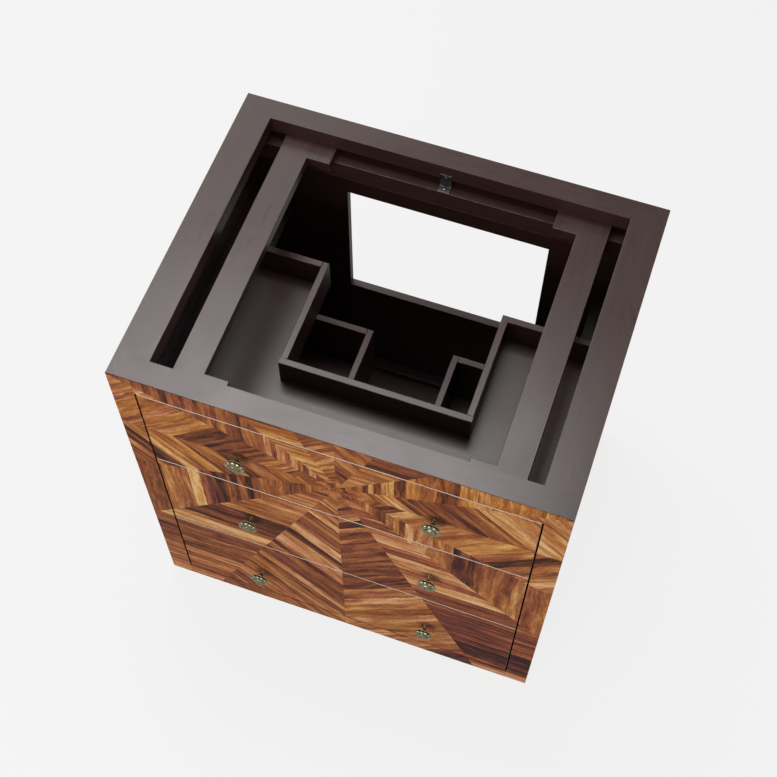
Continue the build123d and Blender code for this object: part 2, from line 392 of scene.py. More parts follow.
@dataclass(frozen=True)
class VeneerFinish:
    """Oiled hardwood leaves of mixed tones, streaked, figured and flecked along each leaf.

    Attributes:
        name: the material's name.
        slot: the material slot that it names; it is not used.
        roughness: the mean roughness.
        specular: the strength of the plain reflection.
        stops: the wood's colours, from its darkest tone to its palest.
        rose: what a rosy leaf is tinted with.
        gold: what a golden leaf is tinted with.
        fleck: the pores' colour.
        pushes: how far streaks, figure, fibres, clouds and grit each move the tone.
        bump: how strongly the fibres stand out.
        cloud: how much the wipe marks change the roughness.
    """

    name: str = "star_veneer"
    slot: Slot = Slot.VENEER
    roughness: float = 0.42
    specular: float = 0.06
    stops: tuple = ((0.00, (0.036, 0.014, 0.011)), (0.16, (0.096, 0.030, 0.018)),
                    (0.34, (0.210, 0.062, 0.026)), (0.50, (0.325, 0.108, 0.035)),
                    (0.66, (0.455, 0.180, 0.056)), (0.82, (0.590, 0.300, 0.112)),
                    (1.00, (0.730, 0.460, 0.225)))
    rose: Colour = (0.52, 0.42, 0.66)
    gold: Colour = (0.62, 0.56, 0.20)
    fleck: Colour = (0.050, 0.018, 0.012)
    pushes: tuple[float, ...] = (0.70, 0.50, 0.34, 0.42, 0.28)
    bump: float = 0.16
    cloud: float = 0.18

    def material(self) -> bpy.types.Material:
        """Builds the material.

        Returns:
            The material.
        """
        material, kit, shader = blank_material(self.name)
        grain = kit.attribute("grain", "Vector")
        wood = kit.place(WOOD_GRAIN, {"Grain": grain, "Streak Count": 62.0,
                                      "Fibre Count": 1000.0, "Wander": 0.03})

        def swing(value: object, size: float) -> bpy.types.NodeSocket:
            """A pattern's push on the tone, to both sides of the leaf's own."""
            return kit.math("MULTIPLY", kit.math("SUBTRACT", value, 0.5), size)

        clouds = kit.noise(grain, 22.0, detail=3.0, roughness=0.6)
        grit = kit.noise(grain, 190.0, detail=4.0, roughness=0.7)
        tone = kit.attribute("tone")
        patterns = (wood["Streaks"], wood["Figure"], wood["Fibres"], clouds, grit)
        for pattern, push in zip(patterns, self.pushes):
            tone = kit.math("ADD", tone, swing(pattern, push))
        tint = kit.ramp(tone, self.stops)
        hue = kit.math("ADD", kit.attribute("hue"), swing(kit.noise(grain, 6.0, detail=2.0), 0.9))
        tint = kit.mix(kit.between(hue, 0.45, 1.0, 0.70), tint, opaque(self.rose), "SOFT_LIGHT")
        tint = kit.mix(kit.between(hue, 0.38, 0.0, 0.45), tint, opaque(self.gold), "SOFT_LIGHT")
        tint = kit.mix(kit.math("MULTIPLY", wood["Flecks"], 0.7), tint, opaque(self.fleck))
        spot = kit.add("ShaderNodeTexCoord").outputs["Object"]
        touch = kit.place(HANDLING, {"Coordinate": spot, "Roughness": self.roughness,
                                     "Spread": self.cloud})
        height = kit.math("SUBTRACT", kit.math("MULTIPLY", wood["Fibres"], 0.8), wood["Flecks"])
        kit.join(shader, {"Base Color": tint, "Roughness": touch["Roughness"],
                          "Normal": kit.bump(self.bump, GRAIN_DEPTH, height)})
        shader.inputs["Specular IOR Level"].default_value = self.specular
        return material


@dataclass(frozen=True)
class MetalFinish:
    """Cast or rolled metal: patina in the hollows, rubbed high spots and painted highlights where a piece
    marks them, small dents.

    Attributes:
        name: the material's name.
        slot: the material slot that it names; it is not used.
        bright: the rubbed metal's colour.
        patina: the aged metal's colour.
        roughness: the mean roughness of the rubbed metal.
        patina_scale: how fine the patches of patina are.
        dent_scale: how fine the dents are.
        dent: how strongly the dents show.
        hollow: how strongly the patina gathers where the piece isn't rubbed.
        dull: how far the patina loses the metal's reflection.
        cloud: how much the wipe marks change the roughness.
        rub_and_highlight: how far the marked places are rubbed bright; on the knobs these include places
            painted bright as highlights.
        age: how strongly the patches of patina show.
    """

    name: str
    slot: Slot
    bright: Colour
    patina: Colour
    roughness: float
    patina_scale: float
    dent_scale: float
    dent: float
    hollow: float = 0.0
    dull: float = 0.0
    cloud: float = 0.25
    rub_and_highlight: float = 0.8
    age: float = 0.75

    def material(self) -> bpy.types.Material:
        """Builds the material.

        Returns:
            The material.
        """
        material, kit, shader = blank_material(self.name)
        spot = kit.add("ShaderNodeTexCoord").outputs["Object"]
        touch = kit.place(HANDLING, {"Coordinate": spot, "Roughness": self.roughness,
                                     "Spread": self.cloud})
        # the edge attribute: rubbed places, and on the knobs places painted bright as highlights
        rubbed = kit.attribute("edge")
        edge = kit.place(WEAR_AND_HIGHLIGHT_MASK, {"Edge": rubbed, "Coordinate": spot,
                                     "Amount": self.rub_and_highlight, "Patch Scale": 300.0})
        patches = kit.noise(spot, self.patina_scale, detail=5.0, roughness=0.65, distortion=0.3)
        aged = kit.between(patches, 0.38, 0.66)
        aged = kit.math("MULTIPLY", aged, kit.math("SUBTRACT", 1.0, edge["Mask"]))
        kept = kit.math("MULTIPLY", kit.math("SUBTRACT", 1.0, rubbed), self.hollow)
        aged = kit.math("MINIMUM", kit.math("ADD", kit.math("MULTIPLY", aged, self.age), kept), 1.0)
        cells = kit.add("ShaderNodeTexVoronoi", {"Vector": spot, "Scale": self.dent_scale},
                        feature="SMOOTH_F1")
        height = kit.math("ADD", cells.outputs[0], kit.math("MULTIPLY", touch["Height"], 0.15))
        kit.join(shader, {
            "Base Color": kit.mix(aged, opaque(self.bright), opaque(self.patina)),
            "Roughness": kit.math("MULTIPLY_ADD", aged, 0.15, touch["Roughness"]),
            "Normal": kit.bump(self.dent, DENT_DEPTH, height),
            "Metallic": kit.math("SUBTRACT", 1.0, kit.math("MULTIPLY", aged, self.dull))})
        return material


Finish = LacquerFinish | VeneerFinish | MetalFinish
# The worn colours of LACQUER and INTERIOR paint the eased arrises lighter: partly rubbed finish, partly a
# painted highlight.
LACQUER = LacquerFinish("espresso_lacquer", Slot.LACQUER, dark=(0.024, 0.0100, 0.0082),
                        light=(0.046, 0.0205, 0.0170), arris_wear_and_highlight=(0.15, 0.10, 0.085), roughness=0.31)
# The back rail's eased arrises are painted pale along their whole length as a painted highlight line.
HIGHLIGHTED_RAIL = replace(LACQUER, name="rubbed_rail", arris_wear_and_highlight=(0.30, 0.24, 0.21), wear_and_highlight_amount=1.35)
BACK = replace(LACQUER, name="espresso_back", slot=Slot.INTERIOR)
INTERIOR = LacquerFinish("espresso_interior", Slot.INTERIOR, dark=(0.023, 0.0078, 0.0062),
                         light=(0.041, 0.0150, 0.0118), arris_wear_and_highlight=(0.16, 0.10, 0.085), roughness=0.33,
                         wear_and_highlight_amount=0.7)
# The drawer fronts' lacquered cores: their eased arrises are painted pale along their whole length, a
# painted highlight line that shows round the leaves.
HIGHLIGHTED_FRONT_CORE = LacquerFinish("rubbed_lacquer", Slot.VENEER, dark=(0.020, 0.011, 0.009),
                       light=(0.034, 0.018, 0.015), arris_wear_and_highlight=(0.72, 0.57, 0.48), roughness=0.42,
                       wear_and_highlight_amount=1.7)
VENEER = VeneerFinish()
BRASS = MetalFinish("aged_brass", Slot.BRASS, bright=(0.88, 0.80, 0.50), patina=(0.045, 0.040, 0.011),
                    roughness=0.17, patina_scale=420.0, dent_scale=300.0, dent=0.35,
                    hollow=0.62, dull=0.8)
STEEL = MetalFinish("blackened_steel", Slot.STEEL, bright=(0.135, 0.130, 0.122),
                    patina=(0.050, 0.047, 0.043), roughness=0.38, patina_scale=35.0,
                    dent_scale=500.0, dent=0.06)
SLIDES = replace(STEEL, name="dark_slides", bright=(0.050, 0.047, 0.038),
                 patina=(0.018, 0.017, 0.013), roughness=0.46)


class Paints:
    """Every finish's material, built once."""

    def __init__(self, finishes: Iterable[Finish]) -> None:
        """Builds one material for each finish."""
        self.made = {finish.name: finish.material() for finish in finishes}

    def dress(self, piece: bpy.types.Object, finish: Finish) -> None:
        """Gives a piece one finish.

        Args:
            piece: the object.
            finish: one of the finishes that were built.
        """
        piece.data.materials.clear()
        piece.data.materials.append(self.made[finish.name])


# ---------------------------------------------------------------- meshes

TOUCHING = 0.001 * MM  # corners closer than this are one corner
FLAT_ANGLE = math.radians(1.0)  # faces that meet at less than this are one face
LOG_SPAN = 9.0  # how far apart two pieces' grain may lie in the log


def new_piece(name: str, mesh: bpy.types.Mesh) -> bpy.types.Object:
    """Links a mesh to the scene as an object at the origin.

    Args:
        name: the object's name.
        mesh: its mesh, which holds its place.

    Returns:
        The object.
    """
    piece = bpy.data.objects.new(name, mesh)
    bpy.context.scene.collection.objects.link(piece)
    return piece


def mesh_of(work: bmesh.types.BMesh, name: str) -> bpy.types.Mesh:
    """Turns a working mesh into a plain one and frees it.

    Args:
        work: the working mesh.
        name: the plain mesh's name.

    Returns:
        The plain mesh.
    """
    mesh = bpy.data.meshes.new(name)
    work.to_mesh(mesh)
    work.free()
    return mesh


def bridge(work: bmesh.types.BMesh, lower: Sequence, upper: Sequence) -> None:
    """Closes the band between two rings of as many corners.

    Args:
        work: the mesh.
        lower: the corners of the first ring.
        upper: the corners of the next one.
    """
    for i in range(len(lower)):
        j = (i + 1) % len(lower)
        work.faces.new((lower[i], lower[j], upper[j], upper[i]))


def store(mesh: bpy.types.Mesh, name: str, domain: str, values: Sequence) -> None:
    """Stores a number or a vector on every face or corner.

    Args:
        mesh: the mesh.
        name: the attribute's name.
        domain: FACE or POINT.
        values: one value for each face or corner.
    """
    vectors = isinstance(values[0], Vector)
    layer = mesh.attributes.new(name, "FLOAT_VECTOR" if vectors else "FLOAT", domain)
    for item, value in zip(layer.data, values):
        setattr(item, "vector" if vectors else "value", value)


def finish_piece(piece: bpy.types.Object, body: str, nodes: Sequence[str] = ()) -> None:
    """Hands a finished piece to the frame.

    Args:
        piece: the object, with its place in its mesh.
        body: the CAD body that it moves with.
        nodes: the CAD nodes that it stands for.
    """
    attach(piece, body)
    if nodes:
        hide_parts(*nodes)
    LOG.info("%s rides on %s, %d faces", piece.name, body, len(piece.data.polygons))


def set_grain(mesh: bpy.types.Mesh, axis: Axis, name: str, slant: float = 0.6) -> None:
    """Stores the grain coordinate: along the fibres, across them, and a place in the log.

    Args:
        mesh: the mesh to mark.
        axis: the direction of the fibres.
        name: what fixes the board's own stretch of grain.
        slant: how far the grain shifts from one side of the board to the next.
    """
    place = random.Random(seed_of(name))
    start = Vector((place.uniform(0, LOG_SPAN), place.uniform(0, LOG_SPAN), place.uniform(0, LOG_SPAN)))
    side, depth = (i for i in range(3) if i != axis.value)
    store(mesh, "grain", "POINT",
          [start + Vector((corner.co[axis.value], corner.co[side] + slant * corner.co[depth], 0.0))
           for corner in mesh.vertices])


def cad_copy(node: str) -> bmesh.types.BMesh:
    """A merged working copy of a CAD node's mesh, with its flat faces whole again.

    Args:
        node: the CAD node.

    Returns:
        The working mesh.
    """
    work = bmesh.new()
    work.from_mesh(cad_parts[node].data)
    bmesh.ops.remove_doubles(work, verts=work.verts, dist=TOUCHING)
    bmesh.ops.dissolve_limit(work, angle_limit=FLAT_ANGLE, verts=work.verts, edges=work.edges)
    bmesh.ops.recalc_face_normals(work, faces=work.faces)
    return work


def on_face(spot: Vector, low: Vector, high: Vector, face: Face) -> bool:
    """Whether a point lies on one side of a box."""
    axis, end = face.value
    return abs(spot[axis] - (low, high)[end][axis]) < 10 * TOUCHING


@dataclass
class Board:
    """A straight board with eased arrises, made from its CAD node.

    Attributes:
        node: the CAD node.
        body: the body it moves with.
        grain: the direction of its fibres.
        finish: its lacquer, or a metal for a strip.
        flush: the sides where it meets another board, whose arrises stay square.
        ease: how far the arrises are rounded.
        veneered: the sides that are set back to take leaves.
        least_length: the shortest edge that is eased.
        least_turn: the smallest angle between faces that is eased, in degrees.
    """

    node: str
    body: str
    grain: Axis
    finish: Finish
    flush: tuple[Face, ...] = ()
    ease: float = 0.8 * MM
    veneered: tuple[Face, ...] = ()
    least_length: float = 5 * MM
    least_turn: float = 60.0

    def build(self) -> bpy.types.Object:
        """Makes the board's mesh.

        Returns:
            The board, not yet dressed.
        """
        low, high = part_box(self.node)
        work = cad_copy(self.node)
        for face in self.veneered:
            axis, end = face.value
            inward = (1, -1)[end] * LEAF
            for vertex in work.verts:
                if on_face(vertex.co, low, high, face):
                    vertex.co[axis] += inward
            (low, high)[end][axis] += inward
        soft = [edge for edge in work.edges if self._is_arris(edge, low, high)]
        eased = bmesh.ops.bevel(work, geom=soft, offset=self.ease, segments=2, profile=0.5,
                                affect="EDGES", clamp_overlap=True)["faces"] if soft else []
        work.faces.index_update()
        marked = {face.index for face in eased}
        mesh = mesh_of(work, self.node)
        store(mesh, "edge", "FACE", [float(face.index in marked) for face in mesh.polygons])
        set_grain(mesh, self.grain, self.node)
        return new_piece(f"{self.node}_board", mesh)

    def _is_arris(self, edge: bmesh.types.BMEdge, low: Vector, high: Vector) -> bool:
        """Whether an edge is a free arris of the board, not a hole's rim or a flush joint.

        Args:
            edge: the edge.
            low: the board's lower corner.
            high: its upper corner.

        Returns:
            True if it is eased.
        """
        if len(edge.link_faces) != 2 or edge.calc_length() < self.least_length:
            return False
        if edge.calc_face_angle() < math.radians(self.least_turn):
            return False
        ends = [vertex.co for vertex in edge.verts]
        return not any(all(on_face(spot, low, high, face) for spot in ends) for face in self.flush)

    def place(self, paints: Paints) -> bpy.types.Object:
        """Builds, dresses and hands over the board.

        Args:
            paints: the materials.

        Returns:
            The finished board.
        """
        piece = self.build()
        paints.dress(piece, self.finish)
        finish_piece(piece, self.body, [self.node])
        return piece


# ---------------------------------------------------------------- star of leaves


def clip(outline: list[Point], normal: Point, limit: float) -> list[Point]:
    """Keeps the part of a convex outline where normal . point <= limit.

    Args:
        outline: the outline's corners.
        normal: the direction that is cut off.
        limit: how far the outline may reach in that direction.

    Returns:
        The corners of what is left.
    """
    kept = []
    for i, (x, y) in enumerate(outline):
        last_x, last_y = outline[i - 1]
        here = normal[0] * x + normal[1] * y - limit
        before = normal[0] * last_x + normal[1] * last_y - limit
        if (here > 0) != (before > 0):
            share = before / (before - here)
            kept.append((last_x + share * (x - last_x), last_y + share * (y - last_y)))
        if here <= 0:
            kept.append((x, y))
    return kept


def area_of(outline: Sequence[Point]) -> float:
    """The signed area of an outline."""
    return 0.5 * sum(outline[i - 1][0] * p[1] - p[0] * outline[i - 1][1] for i, p in enumerate(outline))


@dataclass
class Leaf:
    """One leaf of veneer: its outline in the panel's plane, the run of its fibres and its colour."""

    outline: list[Point]
    run: Point
    tone: float
    hue: float


class Lay(Enum):
    """How the leaves of one sector lie: level, upright, or along a diagonal."""

    LEVEL = "level"
    UPRIGHT = "upright"
    DIAGONAL = "diagonal"


# How the sectors of one side lie, from straight below the centre up.
SECTORS_A_SIDE = (Lay.DIAGONAL, Lay.LEVEL, Lay.UPRIGHT, Lay.DIAGONAL,
                  Lay.DIAGONAL, Lay.UPRIGHT, Lay.LEVEL, Lay.DIAGONAL)
LEFT, RIGHT = -1, 1
PALE, LIGHT, MIDDLE, DEEP, DARK = 0.80, 0.66, 0.47, 0.31, 0.16


@dataclass
class Star:
    """Sixteen sectors of leaves round a centre, laid as rings of eight-pointed stars.

    Attributes:
        centre: the star's centre in the panel's plane.
        seed: what fixes the leaves' widths and tones.
        matched: leaves given one by one, as (side, sector, from, to, tone); sectors count up
            from straight below the centre, and the distances are from the centre.
        hues: (side, sector) to the leaning of its leaves, from 0 golden to 1 rosy.
        reach: how far the rings go.
        first_width: the width of the innermost ring.
        growth: how much wider the rings get per metre from the centre.
        uneven: the least and the most that a ring's width is scaled by.
        joint: the gap between two leaves.
        least_area: the smallest clipping that is still laid.
        tone_spread: how much leaves differ in tone.
        tone_limits: the darkest and the palest tone that come by chance.
        match_play: how much chance is left in the tone of a listed leaf.
        hue: the leaning of the leaves of sectors that hues doesn't name.
        hue_spread: how much leaves differ in leaning.
        rings: each ring's distance from the centre.
    """

    centre: Point
    seed: int
    matched: Sequence[tuple] = ()
    hues: dict = field(default_factory=dict)
    reach: float = 0.85
    first_width: float = 9 * MM
    growth: float = 0.055
    uneven: tuple[float, float] = (0.62, 1.45)
    joint: float = 0.1 * MM
    least_area: float = 2 * MM * MM
    tone_spread: float = 0.13
    tone_limits: tuple[float, float] = (0.05, 0.95)
    match_play: float = 0.25
    hue: float = 0.45
    hue_spread: float = 0.16
    rings: list[float] = field(default_factory=list)

    def __post_init__(self) -> None:
        """Sets out the rings."""
        pick = random.Random(self.seed)
        distance = 0.0
        while distance < self.reach:
            self.rings.append(distance)
            distance += (self.first_width + self.growth * distance) * pick.uniform(*self.uneven)
        self.rings.append(distance)

    def tone(self, side: int, sector: int, inner: float, outer: float, pick: random.Random) -> float:
        """A leaf's tone: one from the list where there is one, or else by chance.

        Args:
            side: left or right of the centre.
            sector: the sector's count on that side.
            inner: the leaf's inner distance.
            outer: its outer distance.
            pick: the sector's random draws.

        Returns:
            The tone, from 0 dark to 1 pale.
        """
        darkest, palest = self.tone_limits
        chance = min(palest, max(darkest, pick.gauss(MIDDLE, self.tone_spread)))
        middle = (inner + outer) / 2
        for match_side, match_sector, start, end, tone in self.matched:
            if (match_side, match_sector) == (side, sector) and start <= middle <= end:
                return min(1.0, max(0.0, tone + self.match_play * (chance - MIDDLE)))
        return chance

    def leaves(self, low: Point, high: Point) -> list[Leaf]:
        """The leaves that cover a rectangle.

        Args:
            low: the rectangle's lower left corner.
            high: its upper right corner.

        Returns:
            Every leaf, clipped to the rectangle.
        """
        found = []
        rectangle = [low, (high[0], low[1]), high, (low[0], high[1])]
        step = math.pi / len(SECTORS_A_SIDE)
        for side in (LEFT, RIGHT):
            for sector, lay in enumerate(SECTORS_A_SIDE):
                pick = random.Random(self.seed * 101 + side * 17 + sector)
                start, end = sector * step, (sector + 1) * step
                upward = -1 if sector < len(SECTORS_A_SIDE) // 2 else 1
                normal, run = directions(lay, side, upward)
                # the sector's two bounding rays, as half-planes that look away from it
                rays = ((-side * math.cos(start), -math.sin(start)),
                        (side * math.cos(end), math.sin(end)))
                for inner, outer in zip(self.rings, self.rings[1:]):
                    tone = self.tone(side, sector, inner, outer, pick)
                    hue = self.hues.get((side, sector), self.hue) + pick.gauss(0.0, self.hue_spread)
                    cuts = ((normal, outer), ((-normal[0], -normal[1]), -inner),
                            (rays[0], 0.0), (rays[1], 0.0))
                    outline = self.cut(rectangle, cuts)
                    if len(outline) >= 3 and abs(area_of(outline)) > self.least_area:
                        found.append(Leaf(tidy(outline), run, tone, hue))
        return found

    def cut(self, outline: list[Point], cuts: Sequence[tuple[Point, float]]) -> list[Point]:
        """Cuts an outline along lines, less half a joint.

        Args:
            outline: the outline's corners.
            cuts: (direction, distance from the star's centre) for each line.

        Returns:
            The corners of what is left, fewer than three where nothing is.
        """
        cx, cy = self.centre
        for (nx, ny), limit in cuts:
            outline = clip(outline, (nx, ny), limit + nx * cx + ny * cy - self.joint / 2)
            if len(outline) < 3:
                break
        return outline


def directions(lay: Lay, side: int, upward: int) -> tuple[Point, Point]:
    """A sector's two directions.

    Args:
        lay: how its leaves lie.
        side: left or right of the centre.
        upward: 1 above the centre, -1 below it.

    Returns:
        The direction in which its rings follow each other, and the run of its fibres.
    """
    if lay is Lay.LEVEL:
        return (0.0, float(upward)), (1.0, 0.0)
    if lay is Lay.UPRIGHT:
        return (float(side), 0.0), (0.0, 1.0)
    half = math.sqrt(0.5)
    return (side * half, upward * half), (side * half, -upward * half)


def tidy(outline: list[Point], least: float = 0.05 * MM) -> list[Point]:
    """An outline without doubled corners, anticlockwise.

    Args:
        outline: the outline's corners.
        least: the distance under which two corners are one.

    Returns:
        The tidied corners.
    """
    kept: list[Point] = []
    for point in outline:
        if not kept or math.dist(point, kept[-1]) > least:
            kept.append(point)
    if len(kept) > 2 and math.dist(kept[0], kept[-1]) <= least:
        kept.pop()
    return kept if area_of(kept) > 0 else kept[::-1]


class GeometryTree(Nodes):
    """A geometry node tree that takes a geometry and a finish, and gives real, dressed geometry."""

    def __init__(self, name: str, inputs: Sequence[tuple[str, str]]) -> None:
        """Makes the tree with its inputs and its output.

        Args:
            name: the tree's name.
            inputs: (name, socket type) for each input between the geometry and the finish.
        """
        super().__init__(bpy.data.node_groups.new(name, "GeometryNodeTree"))
        for title, kind in (("Geometry", "NodeSocketGeometry"), *inputs,
                            ("Finish", "NodeSocketMaterial")):
            self.tree.interface.new_socket(title, in_out="INPUT", socket_type=kind)
        self.tree.interface.new_socket("Geometry", in_out="OUTPUT", socket_type="NodeSocketGeometry")
        self.given = self.add("NodeGroupInput").outputs

    def named(self, name: str, kind: str = "FLOAT_VECTOR") -> bpy.types.NodeSocket:
        """A named attribute's value."""
        return self.add("GeometryNodeInputNamedAttribute", {"Name": name}, data_type=kind).outputs[0]

    def stored(self, geometry: object, name: str, kind: str, domain: str,
               value: object) -> bpy.types.NodeSocket:
        """The geometry with a value stored on it."""
        return self.add("GeometryNodeStoreNamedAttribute",
                        {"Geometry": geometry, "Name": name, "Value": value},
                        data_type=kind, domain=domain).outputs[0]

    def end(self, geometry: object) -> bpy.types.NodeTree:
        """Ends the tree with real, dressed geometry.

        Args:
            geometry: the last geometry socket.

        Returns:
            The tree.
        """
        real = self.add("GeometryNodeRealizeInstances", {"Geometry": geometry}).outputs[0]
        done = self.add("GeometryNodeSetMaterial", {"Geometry": real, "Material": self.given["Finish"]})
        self.tree.links.new(done.outputs[0], self.add("NodeGroupOutput").inputs[0])
        return self.tree


def leaf_tree() -> bpy.types.NodeTree:
    """Geometry nodes that turn flat leaf outlines into closed leaves with their own grain.

    Returns:
        The tree.
    """
    kit = GeometryTree("lay_leaves", (("Leaf Thickness", "NodeSocketFloat"),
                                      ("Tone Spread", "NodeSocketFloat"), ("Seed", "NodeSocketInt")))
    given = kit.given
    shade = kit.add("FunctionNodeRandomValue", {"Seed": given["Seed"]}, data_type="FLOAT").outputs[1]
    signed = kit.math("MULTIPLY", kit.math("SUBTRACT", shade, 0.5), given["Tone Spread"])
    flat = kit.stored(given["Geometry"], "tone", "FLOAT", "FACE",
                      kit.math("ADD", kit.named("tone", "FLOAT"), signed))
    place = kit.add("FunctionNodeRandomValue", {1: (LOG_SPAN, LOG_SPAN, LOG_SPAN), "Seed": given["Seed"]},
                    data_type="FLOAT_VECTOR").outputs[0]
    flat = kit.stored(flat, "log_place", "FLOAT_VECTOR", "FACE", place)

    raised = kit.add("GeometryNodeExtrudeMesh", {"Mesh": flat, "Offset Scale": given["Leaf Thickness"],
                                                 "Individual": True}, mode="FACES").outputs[0]
    under = kit.add("GeometryNodeFlipFaces", {"Mesh": flat}).outputs[0]
    joined = kit.add("GeometryNodeJoinGeometry")
    for part in (raised, under):
        kit.tree.links.new(part, joined.inputs[0])
    closed = kit.add("GeometryNodeMergeByDistance", {"Geometry": joined.outputs[0],
                                                     "Distance": TOUCHING}).outputs[0]
    position = kit.add("GeometryNodeInputPosition").outputs[0]

    def along(direction: str) -> bpy.types.NodeSocket:
        """How far a point lies along one of the leaf's directions."""
        return kit.add("ShaderNodeVectorMath", {0: position, 1: kit.named(direction)},
                       operation="DOT_PRODUCT").outputs["Value"]

    coordinate = kit.add("ShaderNodeCombineXYZ", {0: along("run"), 1: along("cross")}).outputs[0]
    grain = kit.add("ShaderNodeVectorMath", {0: coordinate, 1: kit.named("log_place")},
                    operation="ADD").outputs[0]
    return kit.end(kit.stored(closed, "grain", "FLOAT_VECTOR", "POINT", grain))


def run_tree(piece: bpy.types.Object, tree: bpy.types.NodeTree, values: dict) -> None:
    """Runs a geometry tree on a piece and keeps the result as its plain mesh.

    Args:
        piece: the object whose mesh the tree starts from.
        tree: the geometry node tree.
        values: input name to value.
    """
    modifier = piece.modifiers.new(tree.name, "NODES")
    modifier.node_group = tree
    for item in tree.interface.items_tree:
        if item.item_type == "SOCKET" and item.in_out == "INPUT" and item.name in values:
            modifier[item.identifier] = values[item.name]
    bpy.context.view_layer.update()
    graph = bpy.context.evaluated_depsgraph_get()
    mesh = bpy.data.meshes.new_from_object(piece.evaluated_get(graph), preserve_all_data_layers=True,
                                           depsgraph=graph)
    piece.modifiers.clear()
    piece.data = mesh


@dataclass
class Panel:
    """A veneered side of a board: where its plane lies and which way it faces.

    Attributes:
        node: the CAD node that the leaves cover.
        body: the body it moves with.
        face: the side that is covered.
        star: the star whose leaves it takes.
        top_line: how far the leaves stop short of the top.
        edge_line: how far they stop short of the other edges.
        front_line: how far they stop short of the front.
        tone_spread: how much a panel's own leaves differ in tone.
    """

    node: str
    body: str
    face: Face
    star: Star
    top_line: float = 0.2 * MM
    edge_line: float = 0.2 * MM
    front_line: float = 0.0
    tone_spread: float = 0.06

    def build(self, tree: bpy.types.NodeTree, paints: Paints) -> bpy.types.Object:
        """Cuts the leaves to the panel and lays them on it.

        Args:
            tree: the geometry nodes that make the leaves.
            paints: the materials.

        Returns:
            The panel's leaves, as one piece.
        """
        low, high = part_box(self.node)
        axis, end = self.face.value
        level = 0 if axis == 1 else 1
        flip = -1 if self.face in (Face.LEFT, Face.BACK) else 1
        ground = (low, high)[end][axis] + (1, -1)[end] * LEAF
        low.y += self.front_line
        ends = sorted((flip * low[level], flip * high[level]))
        leaves = self.star.leaves((ends[0] + self.edge_line, low[2] + self.edge_line),
                                  (ends[1] - self.edge_line, high[2] - self.top_line))

        def placed(u: float, v: float) -> Vector:
            """A point of the panel's plane, in the cabinet's frame."""
            spot = Vector((0.0, 0.0, v))
            spot[axis] = ground
            spot[level] = flip * u
            return spot

        origin = placed(0.0, 0.0)
        corners, faces = [], []
        for leaf in leaves:
            first = len(corners)
            corners += [placed(u, v) for u, v in leaf.outline]
            faces.append(list(range(first, len(corners))))
        name = f"{self.node}_{self.face.name.lower()}"
        mesh = bpy.data.meshes.new(f"{name}_leaves")
        mesh.from_pydata(corners, [], faces)
        store(mesh, "run", "FACE", [placed(*leaf.run) - origin for leaf in leaves])
        store(mesh, "cross", "FACE", [placed(-leaf.run[1], leaf.run[0]) - origin for leaf in leaves])
        store(mesh, "tone", "FACE", [leaf.tone for leaf in leaves])
        store(mesh, "hue", "FACE", [min(1.0, max(0.0, leaf.hue)) for leaf in leaves])
        piece = new_piece(f"{name}_veneer", mesh)
        run_tree(piece, tree, {"Leaf Thickness": LEAF, "Tone Spread": self.tone_spread,
                               "Seed": seed_of(self.node) % 10000,
                               "Finish": paints.made[VENEER.name]})
        finish_piece(piece, self.body, [self.node])
        return piece


# ---------------------------------------------------------------- hardware


def screw_head(radius: float, height: float, turn: int = 24) -> bpy.types.Mesh:
    """A pan head along +Z with a cross recess, its seat at the origin.

    Args:
        radius: the head's radius.
        height: its height.
        turn: the number of steps round it.

    Returns:
        The head's mesh.
    """
    arm_width, arm_reach, corner_reach = 0.35, 0.46, 0.17
    floor_share, floor_height = 0.7, 0.25 * height
    steps = [math.tau * i / turn for i in range(turn)]
    work = bmesh.new()

    def ring(reaches: Sequence[float], z: float) -> list[bmesh.types.BMVert]:
        """A ring of corners at one height, each with its own reach."""
        return [work.verts.new((reach * math.cos(angle), reach * math.sin(angle), z))
                for reach, angle in zip(reaches, steps)]

    rings = [ring([r] * turn, z) for r, z in ((radius, 0.0), (radius, 0.35 * height),
                                              (0.86 * radius, 0.78 * height), (0.55 * radius, height))]
    work.faces.new(reversed(rings[0]))
    # the top dips to a cross: inside four arms it reaches far out, between them hardly at all
    reaches = [(arm_reach if abs(math.sin(2 * angle)) < arm_width else corner_reach) * radius
               for angle in steps]
    rings.append(ring(reaches, height))
    rings.append(ring([floor_share * reach for reach in reaches], floor_height))
    for lower, upper in zip(rings, rings[1:]):
        bridge(work, lower, upper)
    work.faces.new(rings[-1])
    bmesh.ops.recalc_face_normals(work, faces=work.faces)
    return mesh_of(work, "screw_head")


def screw_tree() -> bpy.types.NodeTree:
    """Geometry nodes that seat a screw head on every point, each turned by chance.

    Returns:
        The tree.
    """
    kit = GeometryTree("seat_screws", (("Head", "NodeSocketObject"), ("Seed", "NodeSocketInt")))
    head = kit.add("GeometryNodeObjectInfo", {"Object": kit.given["Head"]}).outputs["Geometry"]
    aimed = kit.add("FunctionNodeAlignRotationToVector", {"Vector": kit.named("facing")},
                    axis="Z").outputs[0]
    turned = kit.add("FunctionNodeRandomValue", {3: math.tau, "Seed": kit.given["Seed"]},
                     data_type="FLOAT").outputs[1]
    spin = kit.add("ShaderNodeCombineXYZ", {2: turned}).outputs[0]
    rotation = kit.add("FunctionNodeRotateRotation", {"Rotation": aimed, "Rotate By": spin},
                       rotation_space="LOCAL").outputs[0]
    return kit.end(kit.add("GeometryNodeInstanceOnPoints", {"Points": kit.given["Geometry"],
                                                            "Instance": head,
                                                            "Rotation": rotation}).outputs[0])


